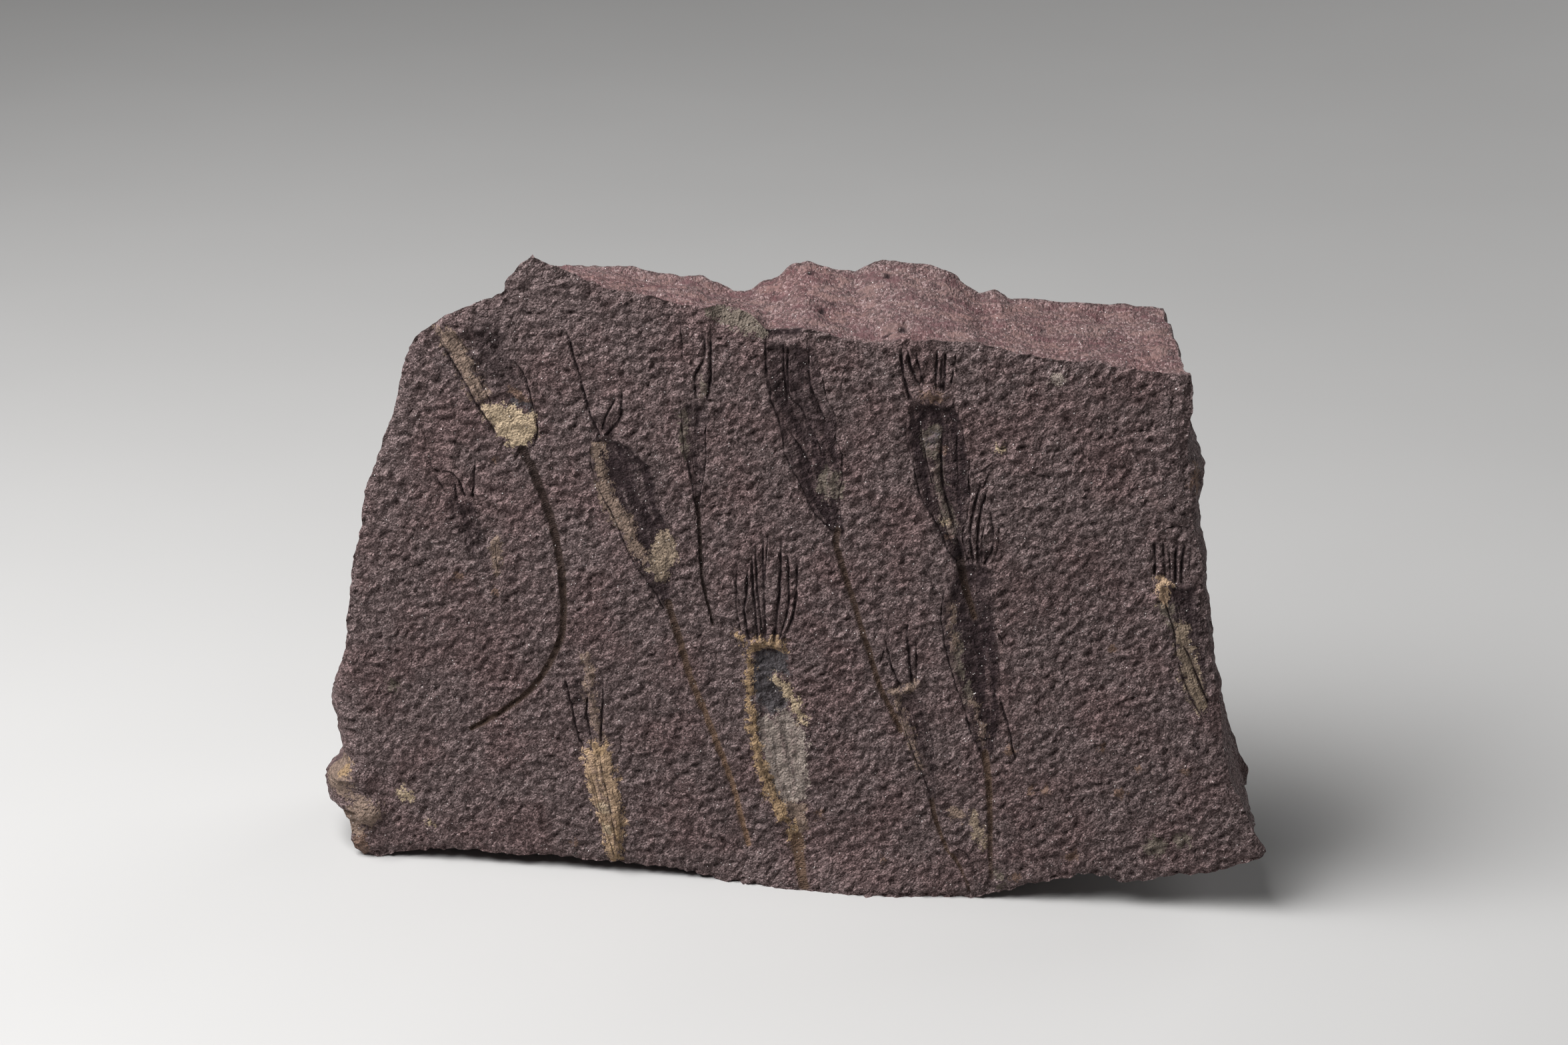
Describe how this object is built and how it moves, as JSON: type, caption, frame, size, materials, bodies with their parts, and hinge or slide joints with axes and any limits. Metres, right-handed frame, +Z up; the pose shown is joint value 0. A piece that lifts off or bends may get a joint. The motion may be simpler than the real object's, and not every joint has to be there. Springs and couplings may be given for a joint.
{
  "type": "fossil crinoid plate",
  "caption": "Upright hand-broken sandstone slab with stalked crinoid-like fossils lying in its front face as moulds and crusts.",
  "frame": {"origin": "centre of the bounding box at the surface that the slab stands on", "axes": "+Z up; +X along the slab to the right, seen from the fossil face; +Y from the fossil face into the stone, so the fossils face -Y"},
  "size_m": [0.213, 0.0404, 0.1444],
  "materials": {
    "sandstone": "rough broken purple-grey sandstone with fine mica sparkle, dark moulds and ochre to cream iron crusts on the fossils"
  },
  "bodies": {
    "root": {"fossil_slab": "sandstone"}
  },
  "joints": []
}
